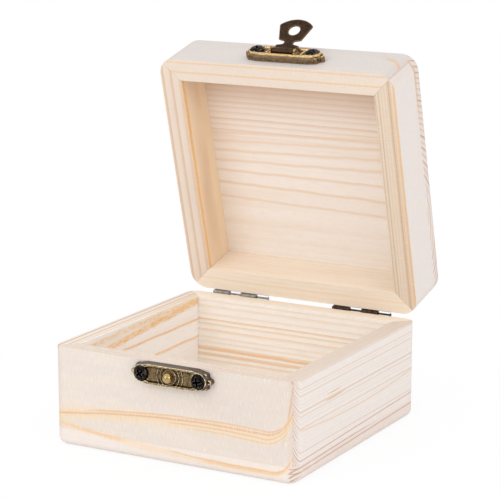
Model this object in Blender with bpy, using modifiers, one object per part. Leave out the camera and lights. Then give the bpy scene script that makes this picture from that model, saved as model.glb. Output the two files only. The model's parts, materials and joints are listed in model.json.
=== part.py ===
"""A small wooden jewelry box: a mitred tray and lid on two butt hinges, closed by a bronze hasp over a stud.

Metres, +Z up. The origin is the middle of the underside, X runs to the right and Y to the back.
The lid stands open and the hasp's flap leans back, as in the photograph.
"""
import math

import bmesh
import bpy
from mathutils import Matrix, Vector

# Box
box_width = 0.0900
box_depth = 0.0888
corner_radius = 0.0042
corner_steps = 6
wood_gap = 0.0003

# Tray
tray_wall_height = 0.0273
tray_wall_thickness = 0.0065
bottom_board_thickness = 0.0060
bottom_edge_radius = 0.0026

# Lid
lid_wall_height = 0.0149
lid_wall_thickness = 0.0079
top_board_thickness = 0.0060
top_edge_radius = 0.0032
edge_steps = 4
seam_gap = 0.0003
lid_open_angle = math.radians(75.25)

# Butt hinges, of rolled sheet
hinge_length = 0.0220
hinge_inset = 0.0098
hinge_shift = 0.0008
hinge_sheet = 0.0005
hinge_leaf_reach = 0.0095
hinge_knuckle_radius = 0.00095
hinge_pin_radius = 0.00035
hinge_pin_head_radius = 0.00060
hinge_pin_head_length = 0.00030
hinge_to_wood_gap = 0.00015
knuckle_pairs = 2
lid_knuckle_length = 0.0041
tray_knuckle_length = 0.0020
knuckle_gap = 0.00015
neck_end_share = 0.35
pin_clearance = 0.0001
leaf_screw_inset = 0.0045
leaf_screw_drop = 0.0056

# Screws
leaf_screw_head_radius = 0.0014
leaf_screw_shank_radius = 0.0006
leaf_screw_length = 0.0045
leaf_screw_slot_depth = 0.0003
plate_screw_head_radius = 0.0024
plate_screw_head_height = 0.0018
plate_screw_shank_radius = 0.0008
plate_screw_length = 0.0062
plate_screw_slot_depth = 0.0008
screw_point_length = 0.0008
slot_length_share = 1.25
slot_width_share = 0.30
head_side_share = 0.4
head_arc_steps = 5
countersink_shares = (0.1, 0.9)
screw_clearance = 0.00015

# Catch plate and hasp plate, stamped from one shape
clasp_offset = 0.0015
plate_half_length = 0.0150
plate_half_height = 0.0035
plate_height = 0.0030
plate_base_height = 0.0021
plate_to_wood_gap = 0.0001
plate_edge_chamfer = 0.00045
rim_steps = 2
plate_rim_width = 0.0009
plate_field_depth = 0.0009
plate_screw_inset = 0.00445
plate_screw_pocket_clearance = 0.00015
plate_pocket_extra_depth = 0.00012
shoulder_start_share = 0.64
shoulder_center_shares = (0.845, 0.62)
shoulder_radius = 0.0007
shoulder_arc_start = math.radians(115)
shoulder_arc_end = math.radians(-25)
tip_radius = 0.0009
tip_arc_start = math.radians(100)
knob_steps = 6
scallop_steps = 4
scallop_depth_share = 0.45
raised_outline_shares = ((0.56, 0.985), (0.68, 0.87), (0.79, 0.82), (0.86, 0.5), (0.913, 0.2))
field_outline_shares = ((0.52, 1.0), (0.66, 0.74), (0.76, 0.70), (0.83, 0.2))

# Catch
catch_drop = 0.0036
boss_radius = 0.0027
boss_top_radius = 0.0020
boss_height = 0.0006
stud_post_radius = 0.00115
stud_ball_radius = 0.0017
stud_ball_height = 0.0040
stud_steps = 20

# Hasp
hasp_plate_rise = 0.0070
hasp_axis_rise = 0.0061
hasp_axis_height = 0.0032
hasp_pin_radius = 0.00045
lug_width = 0.0009
lug_radius = 0.00115
lug_gap = 0.0003
window_near = 0.0014
window_far = 0.0022
flap_angle = math.radians(152.3)
flap_sheet = 0.0006
flap_knuckle_radius = 0.0012
flap_tongue_half_width = 0.0039
flap_bar_half_width = 0.0044
flap_bar_start = 0.0023
flap_bar_end = 0.0033
flap_neck_half_width = 0.00175
flap_neck_end = 0.0049
flap_fan_start = 0.0057
flap_fan_start_half_width = 0.0042
flap_fan_end = 0.0123
flap_fan_end_half_width = 0.0063
flap_tip = 0.0150
flap_hole_radius = 0.00225
flap_arc_steps = 5
flap_hole_steps = 24
flap_notch_round = 0.0008
flap_corner_drop = 0.0004
flap_crown_share = 0.96

# Cuts and facets
overrun = 0.0010
merge_distance = 0.000001
round_sides = 24
knuckle_sides = 20
small_round_sides = 16
smooth_angle = math.radians(35)
quarter_turn = math.pi / 2
flat_angle = math.radians(0.5)

# Places that follow from the sizes above
tray_height = bottom_board_thickness + wood_gap + tray_wall_height
seam_height = tray_height + seam_gap / 2
lid_rim_height = tray_height + seam_gap
hinge_axis_offset = hinge_to_wood_gap + hinge_knuckle_radius
front_face = -box_depth / 2
back_face = box_depth / 2
lid_axis = Vector((0.0, back_face + hinge_axis_offset, seam_height))
catch_center = Vector((clasp_offset, front_face - plate_to_wood_gap, tray_height - catch_drop))
hasp_center = Vector((clasp_offset, front_face - plate_to_wood_gap, lid_rim_height + hasp_plate_rise))
flap_axis = Vector((clasp_offset, front_face - hasp_axis_height, lid_rim_height + hasp_axis_rise))
flap_hole_reach = flap_axis.z - catch_center.z

PINE = ((0.86, 0.77, 0.65), 0.62, 0.0)
BRONZE = ((0.16, 0.11, 0.055), 0.42, 1.0)
DARK_BRONZE = ((0.075, 0.05, 0.03), 0.45, 1.0)
BRASS = ((0.52, 0.38, 0.18), 0.30, 1.0)
BLACK_STEEL = ((0.012, 0.012, 0.014), 0.35, 1.0)
STEEL = ((0.22, 0.19, 0.15), 0.35, 1.0)


def clear_scene():
    for item in list(bpy.data.objects):
        bpy.data.objects.remove(item, do_unlink=True)


def new_collection(name):
    collection = bpy.data.collections.new(name)
    bpy.context.scene.collection.children.link(collection)
    return collection


def new_empty(name, location, parent=None):
    """A parent on a joint's axis; location is in the closed box's own frame."""
    empty = bpy.data.objects.new(name, None)
    empty.empty_display_size = hinge_length / 2
    parts.objects.link(empty)
    hang(empty, location, parent)
    return empty


def hang(item, location, parent):
    """Puts an item under its parent; both places are known in the closed box's frame."""
    item["closed_place"] = tuple(location)
    item.location = location
    if parent is not None:
        item.parent = parent
        item.location = Vector(location) - Vector(parent["closed_place"])


def finish(item, look):
    """Gives the item its own material and smooth shading across shallow edges."""
    color, roughness, metallic = look
    material = bpy.data.materials.new(item.name)
    material.use_nodes = True
    shader = material.node_tree.nodes["Principled BSDF"]
    shader.inputs["Base Color"].default_value = (*color, 1.0)
    shader.inputs["Roughness"].default_value = roughness
    shader.inputs["Metallic"].default_value = metallic
    item.data.materials.clear()
    item.data.materials.append(material)
    item.data.shade_smooth()
    item.data.set_sharp_from_angle(angle=smooth_angle)


def mesh_object(name, mesh, collection):
    item = bpy.data.objects.new(name, mesh)
    mesh.name = name
    collection.objects.link(item)
    return item


def evaluated_mesh(item):
    """The item's mesh as the viewport shows it, with loose caps welded."""
    bpy.context.view_layer.update()
    graph = bpy.context.evaluated_depsgraph_get()
    mesh = bpy.data.meshes.new_from_object(item.evaluated_get(graph), depsgraph=graph)
    work = bmesh.new()
    work.from_mesh(mesh)
    bmesh.ops.remove_doubles(work, verts=work.verts, dist=merge_distance)
    bmesh.ops.dissolve_degenerate(work, edges=work.edges, dist=merge_distance)
    bmesh.ops.dissolve_limit(work, angle_limit=flat_angle, verts=work.verts, edges=work.edges)
    bmesh.ops.recalc_face_normals(work, faces=work.faces)
    work.to_mesh(mesh)
    work.free()
    return mesh


def extruded(name, outlines, thickness, collection):
    """A flat outline, with its holes if any, pushed up from z = 0 by its thickness."""
    curve = bpy.data.curves.new(name, "CURVE")
    curve.dimensions = "2D"
    curve.fill_mode = "BOTH"
    curve.extrude = thickness / 2
    for outline in outlines:
        spline = curve.splines.new("POLY")
        spline.points.add(len(outline) - 1)
        for point, (x, y) in zip(spline.points, outline):
            point.co = (x, y, 0.0, 1.0)
        spline.use_cyclic_u = True
    guide = bpy.data.objects.new(name, curve)
    parts.objects.link(guide)
    mesh = evaluated_mesh(guide)
    mesh.transform(Matrix.Translation((0.0, 0.0, thickness / 2)))
    bpy.data.objects.remove(guide, do_unlink=True)
    return mesh_object(name, mesh, collection)


def turned(name, profile, sides, collection):
    """A solid turned about Z from a profile of (radius, height) that runs down its outer side."""
    mesh = bpy.data.meshes.new(name)
    edges = [(i, i + 1) for i in range(len(profile) - 1)]
    mesh.from_pydata([(radius, 0.0, height) for radius, height in profile], edges, [])
    item = mesh_object(name, mesh, collection)
    screw = item.modifiers.new("turn", "SCREW")
    screw.axis = "Z"
    screw.steps = sides
    screw.render_steps = sides
    screw.use_merge_vertices = True
    screw.merge_threshold = merge_distance
    return item


def block(name, low, high, collection):
    """A box between two corners, made about its own middle."""
    low, high = Vector(low), Vector(high)
    mesh = bpy.data.meshes.new(name)
    work = bmesh.new()
    bmesh.ops.create_cube(work, size=1.0)
    bmesh.ops.scale(work, vec=high - low, verts=work.verts)
    bmesh.ops.translate(work, vec=(low + high) / 2, verts=work.verts)
    work.to_mesh(mesh)
    work.free()
    return mesh_object(name, mesh, collection)


def rod(name, radius, start, end, collection, sides=round_sides):
    """A round bar between two points."""
    start, end = Vector(start), Vector(end)
    mesh = bpy.data.meshes.new(name)
    work = bmesh.new()
    length = (end - start).length
    bmesh.ops.create_cone(work, cap_ends=True, segments=sides, radius1=radius, radius2=radius, depth=length)
    turn = Vector((0.0, 0.0, 1.0)).rotation_difference(end - start).to_matrix().to_4x4()
    work.transform(Matrix.Translation((start + end) / 2) @ turn)
    work.to_mesh(mesh)
    work.free()
    return mesh_object(name, mesh, collection)


def as_cutter(item):
    item.hide_render = True
    item.display_type = "WIRE"
    return item


def boolean(item, tool, operation):
    modifier = item.modifiers.new(operation.lower(), "BOOLEAN")
    modifier.operation = operation
    modifier.solver = "EXACT"
    modifier.object = as_cutter(tool)


def settled(item):
    """Applies the item's modifiers, so that it can be moved or copied without its tools."""
    mesh = evaluated_mesh(item)
    item.modifiers.clear()
    old = item.data
    item.data = mesh
    mesh.name = item.name
    bpy.data.meshes.remove(old)
    return item


def round_rim(item, level, radius, steps):
    """Rounds the edges between the flat face at that level and the sides."""
    work = bmesh.new()
    work.from_mesh(item.data)
    edges = []
    for edge in work.edges:
        on_level = all(abs(vertex.co.z - level) < merge_distance for vertex in edge.verts)
        facing = sorted(round(abs(face.normal.z)) for face in edge.link_faces)
        if on_level and facing == [0, 1]:
            edges.append(edge)
    bmesh.ops.bevel(work, geom=edges, offset=radius, segments=steps, profile=0.5, affect="EDGES")
    work.to_mesh(item.data)
    work.free()


def arc(center, radius, start, end, steps):
    """Points on an arc, angles in radians."""
    angles = (start + (end - start) * i / steps for i in range(steps + 1))
    return [(center[0] + radius * math.cos(a), center[1] + radius * math.sin(a)) for a in angles]


def mirrored(points):
    """The points, followed by their mirror images across x = 0, as one closed outline."""
    return points + [(-x, y) for x, y in reversed(points) if abs(x) > merge_distance]


def board_outline():
    x, y = box_width / 2 - corner_radius, box_depth / 2 - corner_radius
    outline = []
    for turn, center in enumerate(((x, y), (-x, y), (-x, -y), (x, -y))):
        outline += arc(center, corner_radius, turn * quarter_turn, (turn + 1) * quarter_turn, corner_steps)
    return outline


def wall_outline(length, thickness):
    """One mitred wall seen from above, its outer face on y = 0 and its inner face on y = thickness."""
    bend = math.asin(wood_gap / 2 / corner_radius)
    center = (length / 2 - corner_radius, corner_radius)
    corner = arc(center, corner_radius, -quarter_turn, -quarter_turn / 2 - bend, corner_steps // 2)
    inner_end = length / 2 - thickness - wood_gap / math.sqrt(2)
    return mirrored(corner + [(inner_end, thickness)])


def wall_cutters(name, wall_center, places, radius, depth, outward):
    """Pilot holes into a wall, each a short bar from just outside its outer face."""
    tools = []
    for number, place in enumerate(places):
        start = Vector(place) - wall_center + outward * overrun
        end = start - outward * (depth + overrun)
        tools.append(rod(f"{name}_pilot_{number + 1}", radius, start, end, cutters, small_round_sides))
    return tools


def add_walls(prefix, level, height, thickness, parent, pilots):
    """Four mitred walls; pilots gives, for a side, the places, radius and depth of its screw holes."""
    sides = {
        "front_wall": (box_width, Vector((0.0, front_face, level)), 0.0),
        "right_wall": (box_depth, Vector((box_width / 2, 0.0, level)), quarter_turn),
        "back_wall": (box_width, Vector((0.0, back_face, level)), math.pi),
        "left_wall": (box_depth, Vector((-box_width / 2, 0.0, level)), -quarter_turn),
    }
    for side, (length, center, turn) in sides.items():
        wall = extruded(f"{prefix}_{side}", [wall_outline(length, thickness)], height, parts)
        wall.data.transform(Matrix.Rotation(turn, 4, "Z"))
        hang(wall, center, parent)
        outward = Matrix.Rotation(turn, 3, "Z") @ Vector((0.0, -1.0, 0.0))
        if side in pilots:
            for tool in wall_cutters(wall.name, center, *pilots[side], outward):
                hang(tool, center, parent)
                boolean(wall, tool, "DIFFERENCE")
        finish(wall, PINE)


def add_boards(lid):
    bottom = extruded("tray_bottom_board", [board_outline()], bottom_board_thickness, parts)
    round_rim(bottom, 0.0, bottom_edge_radius, edge_steps)
    finish(bottom, PINE)
    hang(bottom, (0.0, 0.0, 0.0), None)
    top = extruded("lid_top_board", [board_outline()], top_board_thickness, parts)
    round_rim(top, top_board_thickness, top_edge_radius, edge_steps)
    finish(top, PINE)
    hang(top, (0.0, 0.0, lid_rim_height + lid_wall_height + wood_gap), lid)


def screw_mesh(name, profile, head_top, head_radius, slot_depth, sides):
    """A turned screw with a cross recess in its head."""
    screw = turned(name, profile, sides, cutters)
    reach, half = head_radius * slot_length_share / 2, head_radius * slot_width_share / 2
    for number, (x, y) in enumerate(((reach, half), (half, reach))):
        near, far = (-x, -y, head_top - slot_depth), (x, y, head_top + overrun)
        slot = block(f"{name}_slot_{number + 1}", near, far, cutters)
        boolean(screw, slot, "DIFFERENCE")
    return settled(screw)


def plate_screw_mesh():
    """A pan head whose seat is at z = 0, over a pointed shank."""
    crown = plate_screw_head_height
    side = crown * head_side_share
    dome = []
    for i in range(head_arc_steps + 1):
        turn = quarter_turn * i / head_arc_steps
        dome.append((plate_screw_head_radius * math.sin(turn), side + (crown - side) * math.cos(turn)))
    shank = [(plate_screw_head_radius, 0.0), (plate_screw_shank_radius, 0.0)]
    shank += [(plate_screw_shank_radius, screw_point_length - plate_screw_length), (0.0, -plate_screw_length)]
    depth = plate_screw_slot_depth
    return screw_mesh("plate_screw", dome + shank, crown, plate_screw_head_radius, depth, round_sides)


def leaf_screw_profile(grow):
    """A countersunk screw flush with the leaf's face at z = 0, or with grow the hole that it fits."""
    head, shank = leaf_screw_head_radius + grow, leaf_screw_shank_radius + grow
    top = overrun if grow else 0.0
    start, end = (-hinge_sheet * share for share in countersink_shares)
    profile = [(0.0, top), (head, top), (head, start), (shank, end)]
    if grow:
        return profile + [(shank, -hinge_sheet - overrun), (0.0, -hinge_sheet - overrun)]
    return profile + [(shank, screw_point_length - leaf_screw_length), (0.0, -leaf_screw_length)]


def leaf_screw_mesh():
    profile, depth = leaf_screw_profile(0.0), leaf_screw_slot_depth
    return screw_mesh("leaf_screw", profile, 0.0, leaf_screw_head_radius, depth, small_round_sides)


def add_screw(name, source, place, outward, parent, look):
    """A copy of a screw with its head facing front (-1) or back (1)."""
    item = mesh_object(name, source.data.copy(), parts)
    item.rotation_euler.x = -outward * quarter_turn
    hang(item, place, parent)
    finish(item, look)


def hinge_centers():
    """Both hinges sit one inset in from the box's ends, shifted a little to the left."""
    reach = box_width / 2 - hinge_inset - hinge_length / 2
    return {"left": -reach - hinge_shift, "right": reach - hinge_shift}


def knuckle_spans():
    """Where each leaf's knuckles start and end; in each pair the lid's is first, then the tray's."""
    spans = {"lid": [], "tray": []}
    for pair in range(knuckle_pairs):
        start = -hinge_length / 2 + hinge_length * pair / knuckle_pairs + knuckle_gap
        middle = start + lid_knuckle_length
        spans["lid"].append((start, middle))
        spans["tray"].append((middle + knuckle_gap, middle + knuckle_gap + tray_knuckle_length))
    return spans


def leaf_screw_places(side):
    """Both screws of each leaf, on the leaf's outer face, in the closed box's frame."""
    face = lid_axis.y - hinge_knuckle_radius + hinge_sheet
    center = hinge_centers()[side]
    reach = hinge_length / 2 - leaf_screw_inset
    xs = (center - reach, center + reach)
    return {
        "tray": [Vector((x, face, lid_axis.z - leaf_screw_drop)) for x in xs],
        "lid": [Vector((x, face, lid_axis.z + leaf_screw_drop)) for x in xs],
    }


def add_leaf(name, center, direction, spans, screw_places, parent):
    """A leaf flat on the back face, up (1) or down (-1) from the axis, with its rolled knuckles."""
    inner, outer = -hinge_knuckle_radius, hinge_sheet - hinge_knuckle_radius
    low, high = sorted((direction * hinge_knuckle_radius * neck_end_share, direction * hinge_leaf_reach))
    leaf = block(name, (-hinge_length / 2, inner, low), (hinge_length / 2, outer, high), parts)
    for number, (start, end) in enumerate(spans):
        tool = f"{name}_knuckle_{number + 1}"
        roll = rod(tool, hinge_knuckle_radius, (start, 0.0, 0.0), (end, 0.0, 0.0), cutters, knuckle_sides)
        boolean(leaf, roll, "UNION")
    reach, past = hinge_length / 2 + overrun, hinge_knuckle_radius + overrun
    low, high = sorted((-direction * past, direction * (hinge_knuckle_radius + knuckle_gap)))
    edges = [-reach] + [edge for span in spans for edge in span] + [reach]
    for number, (start, end) in enumerate(zip(edges[::2], edges[1::2])):
        notch = block(f"{name}_notch_{number + 1}", (start, -past, low), (end, past, high), cutters)
        boolean(leaf, notch, "DIFFERENCE")
    bore = hinge_pin_radius + pin_clearance
    hole = rod(f"{name}_bore", bore, (-reach, 0.0, 0.0), (reach, 0.0, 0.0), cutters, small_round_sides)
    boolean(leaf, hole, "DIFFERENCE")
    origin = Vector((center, lid_axis.y, lid_axis.z))
    for number, place in enumerate(screw_places):
        profile = leaf_screw_profile(pin_clearance)
        hole = settled(turned(f"{name}_hole_{number + 1}", profile, small_round_sides, cutters))
        hole.data.transform(Matrix.Translation(place - origin) @ Matrix.Rotation(-quarter_turn, 4, "X"))
        boolean(leaf, hole, "DIFFERENCE")
    settled(leaf)
    hang(leaf, origin, parent)
    finish(leaf, DARK_BRONZE)


def add_hinges(lid):
    screw = leaf_screw_mesh()
    spans = knuckle_spans()
    for side, center in hinge_centers().items():
        places = leaf_screw_places(side)
        add_leaf(f"hinge_{side}_lid_leaf", center, 1, spans["lid"], places["lid"], lid)
        add_leaf(f"hinge_{side}_tray_leaf", center, -1, spans["tray"], places["tray"], None)
        half = hinge_length / 2
        head = half + hinge_pin_head_length
        profile = [(0.0, head), (hinge_pin_head_radius, head)]
        profile += [(hinge_pin_head_radius, half), (hinge_pin_radius, half)]
        profile += [(radius, -height) for radius, height in reversed(profile)]
        pin = turned(f"hinge_{side}_pin", profile, small_round_sides, parts)
        pin.rotation_euler.y = quarter_turn
        hang(pin, (center, lid_axis.y, lid_axis.z), None)
        finish(pin, DARK_BRONZE)
        for body, parent in (("tray", None), ("lid", lid)):
            for number, place in enumerate(places[body]):
                add_screw(f"hinge_{side}_{body}_screw_{number + 1}", screw, place, 1, parent, DARK_BRONZE)


def plate_outline():
    """The stamped plates' outline: straight sides, and ends with two shoulder knobs and a tip knob."""
    length, height = plate_half_length, plate_half_height
    start = length * shoulder_start_share
    shoulder = (length * shoulder_center_shares[0], height * shoulder_center_shares[1])
    tip = (length - tip_radius, 0.0)
    shoulder_arc = arc(shoulder, shoulder_radius, shoulder_arc_start, shoulder_arc_end, knob_steps)
    tip_arc = arc(tip, tip_radius, tip_arc_start, 0.0, knob_steps)
    first, last = Vector(shoulder_arc[-1]), Vector(tip_arc[0])
    hollow = Vector((first.x, last.y)).lerp((first + last) / 2, 1 - scallop_depth_share)
    scallop = []
    for i in range(1, scallop_steps):
        along = i / scallop_steps
        point = first.lerp(hollow, along).lerp(hollow.lerp(last, along), along)
        scallop.append((point.x, point.y))
    upper = [(start, height)] + shoulder_arc + scallop + tip_arc
    lower = [(x, -y) for x, y in reversed(upper[:-1])]
    right = upper + lower
    return right + [(-x, y) for x, y in reversed(right)]


def share_outline(shares, length, height):
    """An outline alike in all four quarters, from points given as shares of half its length and height."""
    upper = [(length * along, height * up) for along, up in shares]
    right = upper + [(x, -y) for x, y in reversed(upper)]
    return right + [(-x, -y) for x, y in right]


def stamped_plate(name):
    """A plate in the X-Y plane, its back on z = 0: ornate base, raised body, sunk field and screw seats."""
    plate = extruded(name, [plate_outline()], plate_base_height, parts)
    body_outline = share_outline(raised_outline_shares, plate_half_length, plate_half_height)
    body = extruded(f"{name}_body", [body_outline], plate_height - plate_base_height / 2, cutters)
    round_rim(body, plate_height - plate_base_height / 2, plate_edge_chamfer, rim_steps)
    body.data.transform(Matrix.Translation((0.0, 0.0, plate_base_height / 2)))
    boolean(plate, body, "UNION")
    outline = share_outline(field_outline_shares, plate_half_length, plate_half_height - plate_rim_width)
    field = extruded(f"{name}_field", [outline], plate_field_depth + overrun, cutters)
    field.data.transform(Matrix.Translation((0.0, 0.0, plate_height - plate_field_depth)))
    boolean(plate, field, "DIFFERENCE")
    pocket_level = plate_height - plate_field_depth - plate_pocket_extra_depth
    pocket_radius = plate_screw_head_radius + plate_screw_pocket_clearance
    hole_radius = plate_screw_shank_radius + screw_clearance
    for number, x in enumerate(plate_screw_sides()):
        top = plate_height + overrun
        start, end = (x, 0.0, pocket_level), (x, 0.0, top)
        pocket = rod(f"{name}_pocket_{number + 1}", pocket_radius, start, end, cutters)
        start = (x, 0.0, -overrun)
        hole = rod(f"{name}_hole_{number + 1}", hole_radius, start, end, cutters, small_round_sides)
        boolean(plate, pocket, "DIFFERENCE")
        boolean(plate, hole, "DIFFERENCE")
    return plate


def plate_screw_sides():
    """How far left and right of a plate's middle its two screws are."""
    reach = plate_half_length - plate_screw_inset
    return (-reach, reach)


def plate_screw_places(center):
    """Where the two screw heads of a plate sit, just off their seats."""
    seat = plate_height - plate_field_depth - plate_pocket_extra_depth + screw_clearance
    return [center + Vector((x, -seat, 0.0)) for x in plate_screw_sides()]


def stand_on_front(item, center, parent):
    """Turns a piece made in the X-Y plane to face the front, and hangs it there."""
    item.rotation_euler.x = quarter_turn
    hang(item, center, parent)


def add_catch(plate_screw):
    plate = stamped_plate("catch_plate")
    field = plate_height - plate_field_depth
    top = field + boss_height
    profile = [(0.0, top), (boss_top_radius, top), (boss_radius, field)]
    profile += [(boss_radius, field - overrun), (0.0, field - overrun)]
    boss = settled(turned("catch_boss", profile, round_sides, cutters))
    boolean(plate, boss, "UNION")
    start, end = (0.0, 0.0, -overrun), (0.0, 0.0, plate_height + overrun)
    bore = rod("stud_bore", stud_post_radius + pin_clearance, start, end, cutters)
    boolean(plate, bore, "DIFFERENCE")
    settled(plate)
    stand_on_front(plate, catch_center, None)
    finish(plate, BRONZE)
    ball = stud_ball_height - plate_to_wood_gap
    neck = math.asin(stud_post_radius / stud_ball_radius)
    turns = [(math.pi - neck) * i / (stud_steps // 2) for i in range(stud_steps // 2 + 1)]
    profile = [(stud_ball_radius * math.sin(a), ball + stud_ball_radius * math.cos(a)) for a in turns]
    stud = turned("catch_stud", profile + [(stud_post_radius, 0.0), (0.0, 0.0)], round_sides, parts)
    stand_on_front(stud, catch_center, None)
    finish(stud, BRASS)
    for side, place in zip(("left", "right"), plate_screw_places(catch_center)):
        add_screw(f"catch_screw_{side}", plate_screw, place, -1, None, BLACK_STEEL)


def add_hasp_plate(lid, plate_screw):
    """The upper plate: a window for the flap's knuckle between two lugs that hold its pin."""
    plate = stamped_plate("hasp_plate")
    axis_y, axis_z = flap_axis.z - hasp_center.z, hasp_center.y - flap_axis.y
    inner = flap_tongue_half_width + lug_gap
    outer = inner + lug_width
    for number, (start, end) in enumerate(((-outer, -inner), (inner, outer))):
        near, far = (start, axis_y, axis_z), (end, axis_y, axis_z)
        eye = rod(f"hasp_lug_eye_{number + 1}", lug_radius, near, far, cutters)
        low = plate_height - plate_field_depth - plate_pocket_extra_depth
        near, far = (start, axis_y - lug_radius, low), (end, axis_y + lug_radius, axis_z)
        foot = block(f"hasp_lug_foot_{number + 1}", near, far, cutters)
        boolean(plate, foot, "UNION")
        boolean(plate, eye, "UNION")
    near, far = (-inner, axis_y - window_near, -overrun), (inner, axis_y + window_far, plate_height + overrun)
    boolean(plate, block("hasp_window", near, far, cutters), "DIFFERENCE")
    radius, reach = hasp_pin_radius + pin_clearance, outer + overrun
    bore = rod("hasp_pin_bore", radius, (-reach, axis_y, axis_z), (reach, axis_y, axis_z), cutters)
    boolean(plate, bore, "DIFFERENCE")
    settled(plate)
    stand_on_front(plate, hasp_center, lid)
    finish(plate, BRONZE)
    pin = rod("hasp_pin", hasp_pin_radius, (-outer, 0.0, 0.0), (outer, 0.0, 0.0), parts)
    hang(pin, flap_axis, lid)
    finish(pin, STEEL)
    for side, place in zip(("left", "right"), plate_screw_places(hasp_center)):
        add_screw(f"hasp_screw_{side}", plate_screw, place, -1, lid, BLACK_STEEL)


def flap_outlines():
    """The flap hanging down from its axis along -Y: tongue, crossbar, neck and fan, and the fan's hole."""
    crown_rise = flap_tip - flap_fan_end
    crown_radius = (flap_fan_end_half_width ** 2 + crown_rise ** 2) / (2 * crown_rise)
    sweep = math.asin(flap_fan_end_half_width / crown_radius)
    center = (0.0, -(flap_tip - crown_radius))
    crown_end = -quarter_turn + sweep * flap_crown_share
    crown = arc(center, crown_radius, -quarter_turn, crown_end, flap_arc_steps)
    corner = [(flap_fan_end_half_width, -(flap_fan_end - flap_corner_drop))]
    notch_center = (flap_neck_half_width + flap_notch_round, -(flap_neck_end - flap_notch_round / 2))
    notch = arc(notch_center, flap_notch_round, -quarter_turn, -3 * quarter_turn, flap_arc_steps)
    bar = [(flap_bar_half_width, -flap_bar_end), (flap_bar_half_width, -flap_bar_start)]
    tongue = [(flap_tongue_half_width, -flap_bar_start), (flap_tongue_half_width, 0.0)]
    side = crown + corner + [(flap_fan_start_half_width, -flap_fan_start)] + notch + bar + tongue
    hole = arc((0.0, -flap_hole_reach), flap_hole_radius, 0.0, 2 * math.pi, flap_hole_steps)[:-1]
    return [mirrored(side), hole]


def wall_pilots(plate_center, body):
    """The screw holes in a body's front and back walls: places on the wall's face, radius and depth."""
    front = [Vector((place.x, front_face, place.z)) for place in plate_screw_places(plate_center)]
    back = []
    for side in hinge_centers():
        back += [Vector((place.x, back_face, place.z)) for place in leaf_screw_places(side)[body]]
    plate_hole = (front, plate_screw_shank_radius + screw_clearance, plate_screw_length + screw_clearance)
    leaf_hole = (back, leaf_screw_shank_radius + screw_clearance, leaf_screw_length + screw_clearance)
    return {"front_wall": plate_hole, "back_wall": leaf_hole}


def add_flap(lid):
    hinge = new_empty("flap_hinge", flap_axis, lid)
    flap = extruded("hasp_flap", flap_outlines(), flap_sheet, parts)
    flap.data.transform(Matrix.Translation((0.0, 0.0, flap_knuckle_radius - flap_sheet)))
    half = flap_tongue_half_width
    roll = rod("flap_roll", flap_knuckle_radius, (-half, 0.0, 0.0), (half, 0.0, 0.0), cutters)
    boolean(flap, roll, "UNION")
    radius, reach = hasp_pin_radius + pin_clearance, half + overrun
    bore = rod("flap_bore", radius, (-reach, 0.0, 0.0), (reach, 0.0, 0.0), cutters)
    boolean(flap, bore, "DIFFERENCE")
    settled(flap)
    flap.data.transform(Matrix.Rotation(quarter_turn, 4, "X"))
    hang(flap, flap_axis, hinge)
    finish(flap, DARK_BRONZE)
    hinge.rotation_euler.x = -flap_angle


clear_scene()
parts = new_collection("wooden_jewelry_box")
cutters = new_collection("cutters")
lid_hinge = new_empty("lid_hinge", lid_axis)

tray_pilots = wall_pilots(catch_center, "tray")
lid_pilots = wall_pilots(hasp_center, "lid")
add_walls("tray", bottom_board_thickness + wood_gap, tray_wall_height, tray_wall_thickness, None, tray_pilots)
add_walls("lid", lid_rim_height, lid_wall_height, lid_wall_thickness, lid_hinge, lid_pilots)
add_boards(lid_hinge)
add_hinges(lid_hinge)
pan_screw = plate_screw_mesh()
add_catch(pan_screw)
add_hasp_plate(lid_hinge, pan_screw)
add_flap(lid_hinge)
lid_hinge.rotation_euler.x = -lid_open_angle
for tool in list(cutters.objects):
    as_cutter(tool)
bpy.context.view_layer.update()
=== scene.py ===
import json
import math

import bmesh
import bpy
import numpy as np
from mathutils import Matrix, Vector
from mathutils.geometry import delaunay_2d_cdt


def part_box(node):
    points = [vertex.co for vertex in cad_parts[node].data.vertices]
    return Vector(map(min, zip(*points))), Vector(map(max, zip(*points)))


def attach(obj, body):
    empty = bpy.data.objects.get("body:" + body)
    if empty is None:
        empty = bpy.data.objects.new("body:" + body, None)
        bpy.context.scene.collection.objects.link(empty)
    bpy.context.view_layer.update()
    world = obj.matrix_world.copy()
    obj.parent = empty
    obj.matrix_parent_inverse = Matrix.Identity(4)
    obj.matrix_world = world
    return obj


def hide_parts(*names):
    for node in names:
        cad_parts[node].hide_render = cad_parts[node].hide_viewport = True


# The small wooden jewelry box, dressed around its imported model. Metres, +Z up, in the model's frame.
# The lid's pieces are made as on the closed box and then turned open, and the flap as when it is latched.
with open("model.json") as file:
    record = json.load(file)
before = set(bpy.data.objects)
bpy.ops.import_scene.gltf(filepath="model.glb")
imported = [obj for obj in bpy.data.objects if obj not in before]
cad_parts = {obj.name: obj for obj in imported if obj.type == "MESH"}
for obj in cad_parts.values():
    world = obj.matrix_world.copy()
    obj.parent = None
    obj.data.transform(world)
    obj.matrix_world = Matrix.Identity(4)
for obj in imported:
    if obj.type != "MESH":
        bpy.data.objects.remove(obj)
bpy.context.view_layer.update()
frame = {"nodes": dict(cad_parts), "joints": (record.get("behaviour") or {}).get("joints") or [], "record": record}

# Camera, fitted to the corners of tray and lid
camera_place = (0.3299, -0.5800, 0.2106)
camera_pitch = math.radians(90 - 12.56)
camera_turn = math.radians(29.31)
camera_lens = 147.9
camera_sensor = 36.0
camera_reach = 20.0

# Two soft lamps by place, size and power, and a sky that brightens between two heights of direction
lamps = {"key": ((-0.25, -0.80, 0.45), 0.7, 1.7), "side": ((0.80, -0.30, 0.40), 0.6, 1.3)}
lamp_target = (0.0, 0.0, 0.05)
sky_low, sky_high = -0.1, 0.75
sky_dim, sky_bright = 0.45, 1.08
sky_color = (0.97, 0.985, 1.0, 1.0)

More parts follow.
